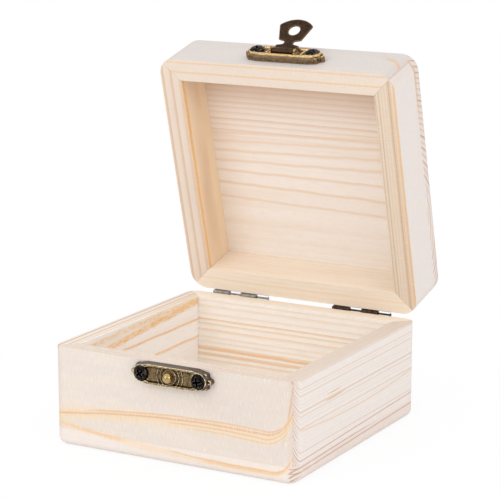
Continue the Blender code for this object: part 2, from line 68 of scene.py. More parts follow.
# Floor; its share of plain white grows from white_near_box to 1 from fade_start to fade_end, in millimetres
floor_half = 3.0
floor_drop = 0.0002
floor_color = (0.95, 0.95, 0.95, 1.0)
white_near_box = 0.9
fade_start, fade_end = 60.0, 130.0

# Wood
corner_radius = {"tray": 0.0042, "lid": 0.0060}
wall_thickness = {"tray": 0.0065, "lid": 0.0079}
corner_steps = 14
mitre_gap = 0.00005
mitre_slack = 0.2
shortest_mitre = 0.0021
seam_gap = 0.00003
rim_ease = 0.00022
ease_steps = 3
bottom_edge_radius = 0.0026
top_edge_radius = 0.0032
edge_steps = 8

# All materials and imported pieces
bump_height = 0.00006
packed_bevel = 0.00007

MM = 0.001
quarter = math.pi / 2
sharp_angle = math.radians(32)


def srgb(red, green, blue):
    """A colour given as it shows on a screen, 0 to 255, as linear light."""
    linear = []
    for value in (red, green, blue):
        share = value / 255
        linear.append(share / 12.92 if share <= 0.04045 else ((share + 0.055) / 1.055) ** 2.4)
    return (*linear, 1.0)


def joint(name):
    """A joint's place, and the turn to the photographed pose from its upper limit, shut or latched."""
    row = next(item for item in frame["joints"] if item["name"] == name)
    return Vector(row["pos_m"]), -math.radians(row["range_deg"][1])


def turn_about(point, angle):
    """A turn about a line along X through the point."""
    return Matrix.Translation(point) @ Matrix.Rotation(angle, 4, "X") @ Matrix.Translation(-Vector(point))


# From the closed box to the photographed pose
lid_axis, lid_turn = joint("lid_hinge")
lid_open = turn_about(lid_axis, lid_turn)
flap_place, flap_turn = joint("hasp_hinge")
flap_axis = lid_open.inverted() @ flap_place
flap_open = lid_open @ turn_about(flap_axis, flap_turn)
places = {"tray": Matrix.Identity(4), "lid": lid_open, "flap": flap_open}
bodies = frame["record"]["behaviour"]["bodies"]
body_of_node = {node: body for body, nodes in bodies.items() for node in nodes}


def closed_box(node):
    """A node's lowest and highest corners on the closed, latched box."""
    close = places[body_of_node[node]].inverted()
    corners = np.array([close @ vertex.co for vertex in frame["nodes"][node].data.vertices])
    return Vector(corners.min(0)), Vector(corners.max(0))


def placed(name, data):
    """A new object of the data, in the scene."""
    item = bpy.data.objects.new(name, data)
    bpy.context.scene.collection.objects.link(item)
    return item


def add_piece(name, mesh, material, node, angle=sharp_angle):
    """Puts a finished mesh in the scene in place of its node, on its body."""
    body = body_of_node[node]
    piece = placed(name, mesh)
    mesh.name = name
    mesh.materials.clear()
    mesh.materials.append(material)
    mesh.shade_smooth()
    mesh.set_sharp_from_angle(angle=angle)
    weighted = piece.modifiers.new("weighted_normals", "WEIGHTED_NORMAL")
    weighted.keep_sharp = True
    piece.matrix_world = places[body]
    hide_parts(node)
    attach(piece, body)


class Graph:
    """Short calls for building the nodes of a material or a world."""

    def __init__(self, owner):
        owner.use_nodes = True
        self.tree = owner.node_tree
        self.coordinates = self.node("ShaderNodeTexCoord")

    def feed(self, socket, value):
        if isinstance(value, bpy.types.NodeSocket):
            self.tree.links.new(value, socket)
        else:
            socket.default_value = value

    def node(self, kind, *values, **settings):
        """A new node's outputs; the values go to its first inputs."""
        made = self.tree.nodes.new(kind)
        for key, value in settings.items():
            setattr(made, key, value)
        for socket, value in zip(made.inputs, values):
            self.feed(socket, value)
        return made.outputs

    def math(self, operation, *values):
        return self.node("ShaderNodeMath", *values, operation=operation)[0]

    def chain(self, operation, values):
        total = values[0]
        for value in values[1:]:
            total = self.math(operation, total, value)
        return total

    def add(self, *values):
        return self.chain("ADD", values)

    def times(self, *values):
        return self.chain("MULTIPLY", values)

    def less(self, value, taken):
        return self.math("SUBTRACT", value, taken)

    def length(self, *sides):
        return self.math("SQRT", self.add(*(self.times(side, side) for side in sides)))

    def split(self, vector):
        return self.node("ShaderNodeSeparateXYZ", vector)

    def join(self, x, y, z):
        return self.node("ShaderNodeCombineXYZ", x, y, z)[0]

    def noise(self, vector, scale=1.0, detail=2.0, roughness=0.5):
        """Smooth noise from 0 to 1."""
        return self.node("ShaderNodeTexNoise", vector, 0.0, scale, detail, roughness)["Fac"]

    def chance(self, value):
        """A random number from 0 to 1 for each whole value."""
        return self.node("ShaderNodeTexWhiteNoise", (0, 0, 0), value, noise_dimensions="1D")["Value"]

    def ease(self, value, low, high, start=0.0, end=1.0):
        """Goes smoothly from start to end as the value goes from low to high."""
        values = (value, low, high, start, end)
        return self.node("ShaderNodeMapRange", *values, interpolation_type="SMOOTHSTEP")[0]

    def blend(self, share, first, second):
        """A mix of two colours, each a socket or red, green and blue as srgb takes them."""
        made = self.tree.nodes.new("ShaderNodeMix")
        made.data_type = "RGBA"
        self.feed(made.inputs["Factor"], share)
        for name, color in (("A", first), ("B", second)):
            self.feed(made.inputs[name], srgb(*color) if isinstance(color, tuple) else color)
        return made.outputs["Result"]

    def ramp(self, value, stops):
        """Shades of grey between stops, each a place from 0 to 1 and the shade there."""
        made = self.tree.nodes.new("ShaderNodeValToRGB")
        self.feed(made.inputs[0], value)
        elements = made.color_ramp.elements
        while len(elements) < len(stops):
            elements.new(0.5)
        for element, (position, shade) in zip(elements, stops):
            element.position = position
            element.color = (shade, shade, shade, 1.0)
        return made.outputs[0]

    def show(self, share, first, second):
        """Sends a mix of two shaders to the output."""
        output = next(item for item in self.tree.nodes if item.type.startswith("OUTPUT"))
        self.feed(output.inputs["Surface"], self.node("ShaderNodeMixShader", share, first, second)[0])


class Surface(Graph):
    """A material's nodes; place is a point in its object's own frame, in millimetres."""

    def __init__(self, name):
        self.material = bpy.data.materials.new(name)
        super().__init__(self.material)
        self.shader = self.tree.nodes["Principled BSDF"]
        self.normal = self.coordinates["Normal"]
        values = (self.coordinates["Object"], (1 / MM, 1 / MM, 1 / MM))
        self.place = self.node("ShaderNodeVectorMath", *values, operation="MULTIPLY")[0]

    def set(self, name, value):
        self.feed(self.shader.inputs[name], value)

    def bump(self, height, strength):
        made = self.tree.nodes.new("ShaderNodeBump")
        self.feed(made.inputs["Height"], height)
        made.inputs["Strength"].default_value = strength
        made.inputs["Distance"].default_value = bump_height
        self.set("Normal", made.outputs[0])


# How softly the bands start and end, in millimetres
depth_blur, end_blur = 0.6, 3.0

# Pine: a pale wood with narrow, darker late-wood lines
warm_wood = (244, 226, 205)
grey_wood = (230, 221, 216)
tan_line = (236, 204, 166)
pink_line = (202, 146, 120)
orange_line = (240, 188, 126)
yellow_line = (243, 214, 172)
golden_line = (216, 172, 92)
brown_line = (196, 152, 118)
fine_line = (214, 166, 122)
end_grain = (205, 170, 148)
end_line = (146, 98, 72)
fibre_shade = (226, 202, 180)
fleck_shade = (214, 198, 188)
scratch_shade = (250, 244, 238)
pore_shade = (190, 156, 130)

# Each side's axes along the grain, up its face and in from it, and its corner: 0 the low, 1 the high one
side_axes = {
    "front": (0, 2, 1, 0), "back": (0, 2, 1, 1), "left": (1, 2, 0, 0), "right": (1, 2, 0, 1),
    "bottom": (0, 1, 2, 0), "top": (0, 1, 2, 1), "rim": (1, 0, 2, 1),
}


def board_axes(graph, side, box):
    """Along the grain, up across the face, and depth in from the outer face, in millimetres."""
    axes = graph.split(graph.place)
    along, up, inward, corner = side_axes[side]
    face = box[corner][inward] / MM
    depth = graph.less(face, axes[inward]) if corner else graph.less(axes[inward], face)
    return axes[along], axes[up], depth


def ring_lines(graph, along, up, depth, end, pith, spacing, width, drift=2.0, offset=0.0, uneven=0.16,
               seed=0.0, least=0.35, waver=0.018, end_least=0.0):
    """How dark the growth rings are here, 0 to 1; they go round the pith, which runs along the grain."""
    slow = graph.join(graph.times(along, waver), graph.times(up, 0.05), graph.times(depth, 0.05))
    shift = graph.add(graph.noise(slow), -0.5)
    radius = graph.length(graph.less(up, pith[0]), graph.less(depth, pith[1]))
    count = graph.add(graph.times(radius, 1 / spacing), graph.times(shift, drift), offset)
    count = graph.add(count, graph.times(graph.math("SINE", graph.times(count, 1.7)), uneven))
    stops = [(0.0, 0.0), (1 - width, 0.0), (1 - width * 0.3, 0.75), (0.96, 1.0), (1.0, 0.0)]
    line = graph.ramp(graph.math("FRACT", count), stops)
    whole = graph.add(graph.math("FLOOR", count), seed)
    strength = graph.ease(graph.chance(whole), 0.0, 1.0, least, 1.0)
    if end_least:
        strength = graph.math("MAXIMUM", strength, graph.times(end, end_least))
    return graph.times(line, strength)


def band_mask(graph, along, up, depth, center, width, slope=0.0, bend=0.0, curl=None, lean=None, waver=0.8,
              core=0.25, blotch=0.0, from_depth=None, to_depth=None, reach=None):
    """How strong one band is here: a soft stripe along a gentle curve."""
    middle = graph.add(graph.times(along, slope), center)
    if bend:
        middle = graph.add(middle, graph.times(along, along, bend))
    if curl:
        start, rate = curl
        past = graph.math("MAXIMUM", graph.less(along, start), 0.0)
        middle = graph.add(middle, graph.times(past, past, rate))
    if lean:
        rate, end = lean
        at_end = graph.math("GREATER_THAN", graph.times(along, end), 0.0)
        middle = graph.add(middle, graph.times(depth, rate, at_end))
    unsteady = graph.noise(graph.join(graph.times(along, 0.08), 0.0, center))
    middle = graph.add(middle, graph.times(graph.add(unsteady, -0.5), waver))
    away = graph.math("ABSOLUTE", graph.less(up, middle))
    mask = graph.ease(away, width * core, width, 1.0, 0.0)
    if blotch:
        spots = graph.noise(graph.join(graph.times(along, 0.35), graph.times(up, 1.8), center), 1.0, 3.0, 0.6)
        mask = graph.times(mask, graph.ease(spots, 0.38, 0.62, 1 - blotch, 1.0))
    limits = [(depth, from_depth, depth_blur, 0.0), (depth, to_depth, depth_blur, 1.0)]
    if reach:
        limits += [(along, reach[0], end_blur, 0.0), (along, reach[1], end_blur, 1.0)]
    for value, limit, blur, before in limits:
        if limit is not None:
            mask = graph.times(mask, graph.ease(value, limit - blur, limit + blur, before, 1.0 - before))
    return mask


def pine(body, side, box, contrast, base, line, bands=(), face=None, inner=None, warmth=0.35, sanded=0.15,
         ends=0.3, fade=None, face_depth=None, clear_face=False, **rings):
    """One board's own material.

    face and inner colour its outer and inner faces, where they differ. contrast is the strength of its ring
    lines, fade where up its face they fall off and to what share, and ends their strength on end grain.
    """
    graph = Surface(f"pine_{body}_{side}")
    along, up, depth = board_axes(graph, side, box)
    normal = graph.split(graph.normal)
    thickness = wall_thickness[body] / MM
    inside = graph.ease(depth, thickness - 0.5, thickness - 0.1)
    off_face = graph.math("MAXIMUM", graph.ease(graph.math("ABSOLUTE", normal["Z"]), 0.3, 0.8), inside)
    if face:
        base = graph.blend(graph.ease(depth, *face_depth) if face_depth else off_face, face, base)
    if inner:
        base = graph.blend(inside, base, inner)

    def stretched(along_scale, up_scale, detail=3.0):
        place = [graph.times(along, along_scale), graph.times(up, up_scale), graph.times(depth, up_scale)]
        return graph.noise(graph.join(*place), 1.0, detail)

    color = graph.blend(graph.ease(stretched(0.03, 0.16), 0.3, 0.75, 0.0, warmth), base, warm_wood)
    end = graph.ease(graph.math("ABSOLUTE", normal["Y" if side in ("left", "right") else "X"]), 0.1, 0.6)
    color = graph.blend(graph.times(end, 0.15), color, end_grain)
    lines = ring_lines(graph, along, up, depth, end, **rings)
    if clear_face:
        lines = graph.times(lines, off_face)
    if fade:
        start, stop, share = fade
        contrast = graph.ease(up, start, stop, contrast, contrast * share)
    color = graph.blend(graph.times(lines, contrast), color, line)
    strokes = graph.times(graph.math("POWER", lines, 2.2), end, ends)
    color = graph.blend(strokes, color, end_line)
    for strength, shade, view, rim_only, curve in bands:
        mask = graph.times(band_mask(graph, *board_axes(graph, view or side, box), **curve), strength)
        if rim_only:
            mask = graph.times(mask, off_face)
        color = graph.blend(mask, color, shade)
    fibre = stretched(0.22, 5.0)
    fleck = stretched(2.6, 0.5, 2.0)
    marks = (
        (fibre, 0.42, 0.80, 0.28, fibre_shade),
        (fleck, 0.50, 0.85, sanded, fleck_shade),
        (stretched(4.0, 0.35), 0.50, 0.75, 0.7 * sanded, scratch_shade),
        (stretched(0.7, 9.0, 1.0), 0.72, 0.80, 0.35, pore_shade),
    )
    for noise, low, high, most, shade in marks:
        color = graph.blend(graph.ease(noise, low, high, 0.0, most), color, shade)
    graph.set("Base Color", color)
    graph.set("Roughness", graph.ease(fibre, 0.2, 0.8, 0.56, 0.70))
    graph.set("Specular IOR Level", 0.25)
    height = graph.add(graph.times(fibre, 0.6), graph.times(lines, 0.5), graph.times(fleck, 0.25))
    graph.bump(height, 0.25)
    return graph.material


def arc(center, radius, start, end, steps):
    angles = (start + (end - start) * i / steps for i in range(steps + 1))
    return [(center[0] + radius * math.cos(a), center[1] + radius * math.sin(a)) for a in angles]


def circle(center, radius, steps):
    return arc(center, radius, 0.0, 2 * math.pi, steps)[:-1]


def loft(rings):
    """A bmesh through rings of points, closed over the first and the last."""
    work = bmesh.new()
    rows = [[work.verts.new(point) for point in ring] for ring in rings]
    work.faces.new(reversed(rows[0]))
    work.faces.new(rows[-1])
    for first, second in zip(rows, rows[1:]):
        for i in range(len(first)):
            j = (i + 1) % len(first)
            work.faces.new((first[i], first[j], second[j], second[i]))
    return work


def wall_outline(length, thickness, radius):
    """One mitred wall from above, its outer face on y = 0, its inner face on y = thickness."""
    bend = math.asin(mitre_gap / 2 / radius)
    center = (length / 2 - radius, radius)
    corner = arc(center, radius, -quarter, -quarter / 2 - bend, corner_steps)
    right = corner + [(length / 2 - thickness - mitre_gap / math.sqrt(2), thickness)]
    return right + [(-x, y) for x, y in reversed(right)]


def ease_rim(work, level):
    """Softens the long edges of the rim, and leaves the mitres crisp."""
    edges = []
    for edge in work.edges:
        on_rim = all(abs(vertex.co.z - level) < seam_gap / 2 for vertex in edge.verts)
        along = (edge.verts[1].co - edge.verts[0].co).normalized()
        diagonal = abs(abs(along.x) - abs(along.y)) < mitre_slack
        if on_rim and not (diagonal and edge.calc_length() > shortest_mitre):
            edges.append(edge)
    bmesh.ops.bevel(work, geom=edges, offset=rim_ease, segments=ease_steps, profile=0.5, affect="EDGES")


def to_mesh(work, name):
    mesh = bpy.data.meshes.new(name)
    bmesh.ops.recalc_face_normals(work, faces=work.faces)
    work.to_mesh(mesh)
    work.free()
    return mesh


def add_walls(body, rim_level, seam_level, looks):
    """The four walls of tray or lid; looks holds what pine needs for each side."""
    turns = {"front": 0.0, "right": quarter, "back": math.pi, "left": -quarter}
    for side, look in looks.items():
        node = f"{body}_{side}_wall"
        low, high = closed_box(node)
        outward = Matrix.Rotation(turns[side], 3, "Z") @ Vector((0.0, -1.0, 0.0))
        across = Vector((abs(outward.y), abs(outward.x), 0.0))
        middle = (low + high) / 2
        center = Vector((middle.x * across.x, middle.y * across.y, 0.0))
        center += Vector((box_half.x * outward.x, box_half.y * outward.y, 0.0))
        outline = wall_outline(2 * box_half.dot(across), wall_thickness[body], corner_radius[body])
        work = loft([[(x, y, level) for x, y in outline] for level in sorted((rim_level, seam_level))])
        ease_rim(work, rim_level)
        work.transform(Matrix.Translation(center) @ Matrix.Rotation(turns[side], 4, "Z"))
        add_piece(f"{node}_wood", to_mesh(work, node), pine(body, side, (low, high), **look), node)


def board_ring(inset, level, corner):
    """An outline of the whole box with rounded corners, drawn in by an inset."""
    radius = corner - inset
    x, y = box_half.x - corner, box_half.y - corner
    ring = []
    for turn, center in enumerate(((x, y), (-x, y), (-x, -y), (x, -y))):
        ring += arc(center, radius, turn * quarter, (turn + 1) * quarter, 2 * corner_steps)
    return [(px, py, level) for px, py in ring]


def add_board(body, side, flat_level, round_level, radius, **look):
    """A full-size board with one face's edges rounded; look is what pine needs."""
    node = f"{body}_{side}_board"
    direction = 1 if round_level > flat_level else -1
    profile = [(0.0, flat_level)]
    for i in range(edge_steps + 1):
        turn = quarter * i / edge_steps
        inset = radius * (1 - math.cos(turn))
        profile.append((inset, round_level - direction * radius * (1 - math.sin(turn))))
    work = loft([board_ring(*step, corner_radius[body]) for step in profile])
    add_piece(f"{node}_wood", to_mesh(work, node), pine(body, side, closed_box(node), **look), node)


board_low, board_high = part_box("tray_bottom_board")
box_half = (board_high - board_low) / 2
tray_rim = closed_box("tray_front_wall")[1].z
lid_rim = closed_box("lid_front_wall")[0].z
lid_seam, lid_top = (corner.z for corner in closed_box("lid_top_board"))


def stripe(center, width, strength, color, view=None, rim_only=False, **curve):
    """A band for pine, in millimetres on the closed box.

    center is its height, or its place across the board, at the board's middle. Its curve has a slope, a
    bend, a curl (where it starts, how fast it grows) and a lean (how much it moves with depth, at which end).
    core is the share of the width with full strength, reach its start and end along the board, and view the
    side it is placed on, where that isn't the board's own.
    """
    return strength, color, view, rim_only, {"center": center, "width": width, **curve}


wave = {"bend": -0.0013, "lean": (2.0, 1)}
front_bands = [
    # A broad, faint painted shade over the upper right of the front face
    stripe(26.0, 24.0, 0.2, (206, 186, 172), core=0.1, reach=(10, 60)),
    stripe(13.5, 3.0, 1.0, fine_line, core=0.2, curl=(40, 1.1), lean=(2.0, 1), reach=(42.5, 60)),
    stripe(14.5, 3.5, 0.65, yellow_line, core=0.1, slope=0.029, curl=(34, 0.07), **wave),
    stripe(15.5, 1.5, 0.55, (238, 200, 160), core=0.1, slope=0.045, curl=(34.5, 0.07), **wave),
] + [
    stripe(center, width, strength, fine_line, slope=slope, curl=(start, 0.07), reach=(left, 60), **wave)
    for center, width, strength, slope, start, left in (
        (16.4, 0.35, 0.5, 0.049, 35, -30), (15.3, 0.4, 0.6, 0.047, 34.5, -60),
        (14.2, 0.35, 0.5, 0.035, 34, 0), (13.2, 0.45, 0.3, 0.027, 34, 8))
] + [
    stripe(8.9, 0.35, 0.35, tan_line, slope=-0.03, reach=(24, 40)),
    stripe(-43.4, 0.26, 0.8, fine_line, view="top", to_depth=0.9, waver=0.4),
    stripe(-41.5, 0.3, 0.7, fine_line, view="top", to_depth=0.9, waver=0.5),
    stripe(-39.3, 0.45, 0.7, orange_line, view="top", to_depth=0.9, waver=0.5),
]
low_wave = {"view": "front", "slope": -0.055, "bend": 0.0009, "curl": (37, 0.07), "lean": (2.0, 1),
            "to_depth": 5.0}
low_front_bands = [
    stripe(3.9, 1.9, 0.55, yellow_line, core=0.1, **low_wave),
    stripe(3.9, 0.9, 0.7, (238, 196, 152), core=0.1, reach=(-60, -18), **low_wave),
    stripe(3.9, 0.9, 0.8, (238, 196, 152), core=0.1, reach=(12, 60), **low_wave),
    stripe(4.5, 0.3, 0.5, fine_line, reach=(0, 60), **low_wave),
]
right_bands = [
    stripe(15.2, 0.36, 0.6, (228, 188, 146), bend=0.0012, lean=(3.6, -1), waver=0.3),
    stripe(24.8, 0.26, 1.0, golden_line, core=0.3, slope=0.02, reach=(-21, -14), to_depth=2.0),
    stripe(22.7, 0.3, 1.0, golden_line, core=0.3, slope=0.01, reach=(-23, -11), to_depth=2.0),
    stripe(8.0, 0.3, 0.8, pink_line, slope=0.02, lean=(3.0, -1), waver=0.2),
]
low_right_bands = [
    stripe(center, 0.28, 0.9, pink_line, view="right", slope=0.018, waver=0.3, to_depth=2.2)
    for center in (5.9, 4.4)
] + [
    stripe(center, 0.36, 1.0, (160, 92, 62), view="right", core=0.3, lean=(-0.6, -1), waver=0.2,
           reach=(-60, -42.5), to_depth=2.2)
    for center in (5.2, 3.7, 2.3)
]
rim_skin = {"view": "rim", "to_depth": 0.9}
left_bands = [
    stripe(-43.7, 0.4, 0.9, brown_line, waver=0.4, **rim_skin),
    stripe(-41.2, 0.35, 0.75, brown_line, waver=0.5, **rim_skin),
    stripe(-39.4, 0.5, 0.5, orange_line, waver=0.5, **rim_skin),
    stripe(30.8, 3.2, 0.3, yellow_line, core=0.4, slope=0.04, from_depth=4.5),
    stripe(29.2, 1.6, 0.95, (248, 196, 118), core=0.3, slope=0.065, blotch=0.7, waver=1.5,
           from_depth=4.5),
    stripe(31.8, 1.3, 0.7, (248, 205, 140), slope=0.02, blotch=0.9, waver=2.0, from_depth=4.5),
] + [
    stripe(center, width, strength, (246, 196, 130), core=0.2, blotch=0.3, waver=1.0, from_depth=4.5)
    for center, width, strength in ((24.9, 0.7, 0.85), (18.4, 0.8, 0.8))
]
back_bands = [
    stripe(center, width, strength, orange_line, slope=-0.004, from_depth=4.5)
    for center, width, strength in ((25.2, 0.5, 0.3), (14.2, 0.8, 0.75), (12.0, 0.5, 0.55))
]
lid_front_bands = [
    stripe(48.3, 1.8, 0.8, (222, 182, 138), core=0.1, curl=(30, -0.025), lean=(-1.0, 1), blotch=0.5,
           waver=0.2, reach=(36, 60), to_depth=5.0),
]
lid_right_bands = [
    stripe(44.4, 0.7, 0.7, (234, 190, 142), view="rim", core=0.2, waver=0.3, rim_only=True),
    stripe(42.7, 0.4, 0.8, (208, 160, 114), view="rim", core=0.3, waver=0.3, rim_only=True),
]
lid_left_bands = [
    stripe(35.2, 1.3, 0.95, (240, 184, 112), core=0.2, blotch=0.45, waver=1.2, from_depth=7.2),
    stripe(44.0, 2.6, 0.25, (232, 190, 140), core=0.1, blotch=0.5, waver=3.0, from_depth=7.6),
]
panel_bands = [
    # Painted shadow on the inner panel, strongest along the open lid's front wall and fading away from it
    stripe(-18.0, 26.0, 0.15, (214, 180, 152), core=0.1, waver=3.0, from_depth=5.0),
    stripe(-38.5, 22.0, 0.85, (214, 180, 152), core=0.1, waver=3.0, from_depth=5.0),
] + [
    stripe(center, width, strength, (234, 199, 160), core=0.1, slope=slope, waver=1.2, from_depth=5.0)
    for center, slope, width, strength in (
        (-12.2, -0.03, 0.9, 0.4), (-8.9, -0.027, 0.9, 0.45), (-5.1, -0.027, 0.9, 0.5),
        (-0.9, -0.016, 0.9, 0.5), (3.85, 0.01, 0.9, 0.55), (9.3, 0.03, 0.9, 0.55),
        (15.0, 0.03, 0.8, 0.45), (24.0, 0.0, 1.4, 0.15))
# The board's front edge takes the same darker grey: painted shade on the face turned up on the open lid
] + [stripe(-45.5, 3.0, 1.0, (214, 206, 201), core=0.6, waver=0.0)]


def add_tray():
    add_walls("tray", tray_rim, board_high.z + seam_gap, {
        "front": dict(
            pith=(-20, 60), spacing=1.1, width=0.35, contrast=0.12, line=tan_line, base=(227, 216, 207),
            bands=front_bands + low_front_bands, sanded=0.6),
        "right": dict(
            pith=(-160, 560), spacing=0.40, width=0.45, contrast=0.8, least=0.0, drift=0.5, waver=0.008,
            line=(212, 172, 140), base=(225, 211, 198), face=(237, 228, 222), bands=right_bands, warmth=0.05,
            sanded=0.4, ends=1.0, end_least=0.95),
        # The back's near-white base is painted light, lifting the shade inside the tray
        "back": dict(
            pith=(-300, 30), spacing=2.15, width=0.55, contrast=0.95, least=0.55, drift=0.35, seed=7,
            line=(242, 214, 176), base=(255, 250, 243), bands=back_bands, warmth=0.2),
        # The left wall's near-white inner colour is painted light, lifting the shade inside the tray
        "left": dict(
            pith=(90, -300), spacing=2.4, width=0.25, contrast=0.2, drift=0.2, offset=0.3, seed=3,
            line=tan_line, base=(238, 226, 214), inner=(255, 253, 250), bands=left_bands, warmth=0.05,
            clear_face=True),
    })
    add_board(
        "tray", "bottom", board_high.z, board_low.z, bottom_edge_radius,
        pith=(20, 190), spacing=2.3, width=0.3, contrast=0.15, drift=0.4, line=tan_line,
        base=(238, 228, 222), bands=low_front_bands + low_right_bands, warmth=0.25, sanded=0.3, ends=0.0)


def add_lid():
    add_walls("lid", lid_rim, lid_seam - seam_gap, {
        # The front's grey face colour, darker than the other faces, is painted shade for the face turned up on the
        # open lid
        "front": dict(
            pith=(40, -220), spacing=3.6, width=0.25, contrast=0.8, least=0.8, drift=0.12, offset=0.49,
            uneven=0.0, line=(232, 184, 118), base=(233, 216, 200), face=(214, 206, 201),
            bands=lid_front_bands, warmth=0.15, sanded=0.3, clear_face=True),
        "right": dict(
            pith=(38, -200), spacing=1.15, width=0.6, contrast=0.85, least=0.3, drift=0.5, offset=0.41,
            uneven=0.0, line=(196, 160, 122), base=(228, 209, 188), face=grey_wood, bands=lid_right_bands,
            warmth=0.15, sanded=0.3, clear_face=True),
        "back": dict(
            pith=(90, -40), spacing=1.3, width=0.6, contrast=0.8, seed=11, line=(244, 214, 172),
            base=(249, 236, 220), warmth=0.6),
        "left": dict(
            pith=(40, -180), spacing=3.3, width=0.42, contrast=0.85, least=0.8, drift=0.12, offset=0.05,
            uneven=0.0, line=(210, 170, 134), base=(231, 212, 196), face=grey_wood, inner=(247, 222, 188),
            bands=lid_left_bands, warmth=0.5, clear_face=True),
    })
    add_board(
        "lid", "top", lid_seam, lid_top, top_edge_radius,
        pith=(14, 26), spacing=1.85, width=0.62, contrast=0.75, least=0.6, drift=0.25, uneven=0.05,
        line=(228, 194, 162), base=(251, 242, 234), face=grey_wood, face_depth=(5.2, 5.8),
        bands=panel_bands, warmth=0.3, ends=0.85, fade=(-15, -7, 0.14))


# Metal parts, in millimetres; a clasp plate lies in its own plane: across, up, and out from the wall
clasp_back = closed_box("catch_plate")[1].y / MM
plate_length, plate_half = 15.0, 3.5
straight_share = 0.64
plate_base, plate_top = 2.1, 3.0
plate_edge_round = 0.35
base_dip = 0.2
lip_rise, lip_inset, lip_half = 0.22, 0.42, 0.32
field_depth = 0.6
raised_slope, field_slope = (-0.06, 0.16), (-0.06, 0.22)
pocket_radius = 2.55
pocket_level = 1.98
pocket_slope = (-0.12, 0.06)
screw_reach = 10.55
screw_hole_radius = 0.95
relief_spacing = 0.15
shoulder = (12.675, 2.17)
shoulder_radius = 0.7
shoulder_turn = (math.radians(115), math.radians(-25))
tip_radius = 0.9
tip_turn = math.radians(100)
hollow_share = 0.55
hollow_steps = 8
raised_outline = ((8.4, 3.44), (10.2, 3.05), (11.85, 2.87), (12.9, 1.75), (13.7, 0.7))
field_outline = ((7.8, 2.6), (9.9, 1.92), (11.4, 1.82), (12.45, 0.52))

# Ridges round the stud, as radius, half width and rise, and the seat inside them
ring_ridges = ((2.35, 0.35, 0.5), (3.5, 0.28, 0.32), (4.75, 0.26, 0.26))
seat_rise, seat_slope = 0.35, (1.9, 2.3)
stud_ball, stud_post, stud_ball_out = 1.7, 1.15, 3.9
stud_neck, neck_top, post_top = 1.0, 2.42, 2.3

# Screws
head_radius, head_out, head_side = 2.4, 1.8, 0.72
dome_power = 2.6
burr_rise, burr_radius, burr_half = 0.05, 1.92, 0.22
cross_reach, cross_half, cross_depth = 1.5, 0.34, 0.8
cross_slope = (-0.05, 0.16)
pit_depth, pit_radius = 0.25, 0.7
shank_radius, shank_length, shank_top = 0.8, 6.2, 0.2
thread_start, thread_end = -0.8, -4.9
thread_pitch, thread_depth = 0.62, 0.22

# Hasp: two lugs hold the pin beside a window, and the flap is drawn hanging down from the pin
lug_inner, lug_outer, lug_radius = 4.2, 5.1, 1.15
lug_slack = 0.01
pin_up, pin_out = -0.9, 3.1
lug_ridge = (6.6, 0.5, 0.30)
window_low, window_high = -2.3, 1.3
knuckle_radius, sheet = 1.2, 0.6
roll_turn = math.radians(255)
roll_edge = 0.06
tongue_half, tongue_low, tongue_high = 3.9, -2.3, 0.05
bar_edge = ((4.3, -3.3), (4.4, -3.2), (4.4, -2.4), (4.3, tongue_low))
notch_center, notch_radius = (2.55, -4.5), 0.8
fan_top = ((4.3, -5.85), (4.2, -5.7))
fan_half, fan_corner, fan_end, fan_rise = 6.3, -11.95, -15.0, 2.7
fan_sweep = 0.97
flap_hole, flap_hole_radius = (0.0, -10.0), 2.1
flap_spacing = 0.18
flap_face_round, flap_back_round = 0.18, 0.12


def mirrored(points):
    """Points along the right side, followed by their mirror images back along the left."""
    return points + [(-x, y) for x, y in reversed(points) if abs(x) > 0.001]


def four_quarters(corner):
    right = list(corner) + [(x, -y) for x, y in reversed(corner)]
    return right + [(-x, -y) for x, y in right]


def plate_edge():
    """The plates' outline: straight long sides, and ends with two shoulder knobs and a tip knob."""
    start = (plate_length * straight_share, plate_half)
    knob = arc(shoulder, shoulder_radius, *shoulder_turn, 10)
    tip = arc((plate_length - tip_radius, 0.0), tip_radius, tip_turn, 0.0, 10)
    first, last = Vector(knob[-1]), Vector(tip[0])
    hollow = Vector((first.x, last.y)).lerp((first + last) / 2, hollow_share)
    scallop = []
    for i in range(1, hollow_steps):
        share = i / hollow_steps
        point = first.lerp(hollow, share).lerp(hollow.lerp(last, share), share)
        scallop.append((point.x, point.y))
    upper = [start] + knob + scallop + tip
    return mirrored(upper + [(x, -y) for x, y in reversed(upper[:-1])])


def resampled(outline, spacing):
    """The outline with points added, so that none are further apart than the spacing."""
    points = []
    for (ax, ay), (bx, by) in zip(outline, outline[1:] + outline[:1]):
        steps = max(1, math.ceil(math.hypot(bx - ax, by - ay) / spacing))
        points += [(ax + (bx - ax) * i / steps, ay + (by - ay) * i / steps) for i in range(steps)]
    return points


def depth_inside(points, outline):
    """How far inside an outline each point lies; below zero outside."""
    start = np.array(outline)
    end = np.roll(start, -1, axis=0)
    span = end - start
    offset = points[:, None] - start
    share = np.clip((offset * span).sum(2) / (span ** 2).sum(1), 0, 1)
    away = np.sqrt(((offset - share[..., None] * span) ** 2).sum(2)).min(1)
    crosses = (start[:, 1] > points[:, None, 1]) != (end[:, 1] > points[:, None, 1])
    rise = np.where(span[:, 1] == 0, 1.0, span[:, 1])
    meets = start[:, 0] + (points[:, None, 1] - start[:, 1]) * span[:, 0] / rise
    inside = (crosses & (points[:, None, 0] < meets)).sum(1) % 2 == 1
    return np.where(inside, away, -away)


def soft_step(value, low, high):
    share = np.clip((value - low) / (high - low), 0, 1)
    return share * share * (3 - 2 * share)


def ridge(value, middle, half_width):
    return soft_step(half_width - np.abs(value - middle), 0, half_width)


def round_edge(inside, radius):
    """How far a rounded edge lies below its face at these distances inside the outline."""
    drop = np.clip(radius - inside, 0, radius)
    return radius - np.sqrt(radius ** 2 - drop ** 2)


